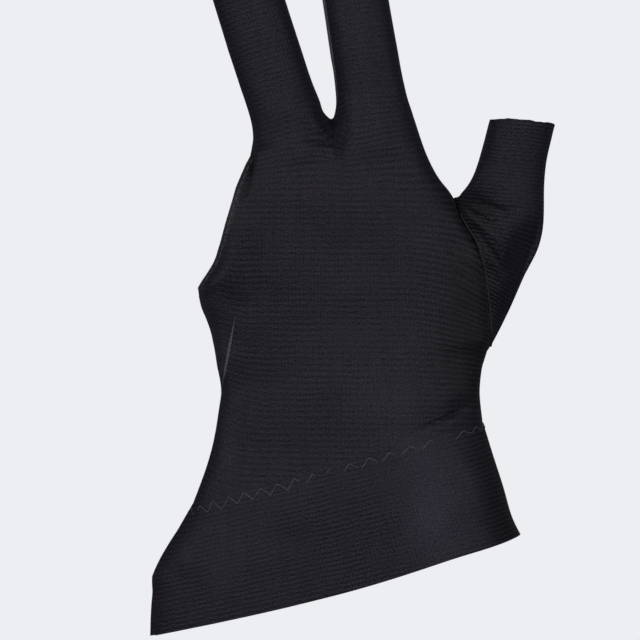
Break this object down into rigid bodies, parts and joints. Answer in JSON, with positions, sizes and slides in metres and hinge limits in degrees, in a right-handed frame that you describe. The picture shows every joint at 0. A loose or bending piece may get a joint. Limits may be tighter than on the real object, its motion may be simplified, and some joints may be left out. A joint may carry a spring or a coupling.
{
  "type": "billiard glove",
  "caption": "Three-finger cue glove of thin black stretch knit for a left hand, open-ended sleeves, side opening for ring and little finger, cuff pulled out at one corner",
  "frame": {"origin": "middle of the wrist hollow, where the glove sits on the hand", "axes": "+Z to the fingertips, +X to the thumb, +Y to the palm, so -Y faces out of the back of the hand"},
  "size_m": [0.1299, 0.0459, 0.2195],
  "materials": {
    "back_panel": "matt black stretch knit with fine crosswise ribs",
    "palm_panel": "matt black stretch knit with fine crosswise ribs",
    "thumb_sleeve": "matt black stretch knit with fine crosswise ribs",
    "cuff_band": "matt black stretch knit with fine crosswise ribs",
    "opening_hem": "matt black turned hem"
  },
  "bodies": {
    "root": {"back_panel": "back_panel", "palm_panel": "palm_panel", "thumb_sleeve": "thumb_sleeve", "cuff_band": "cuff_band", "opening_hem": "opening_hem"}
  },
  "joints": []
}
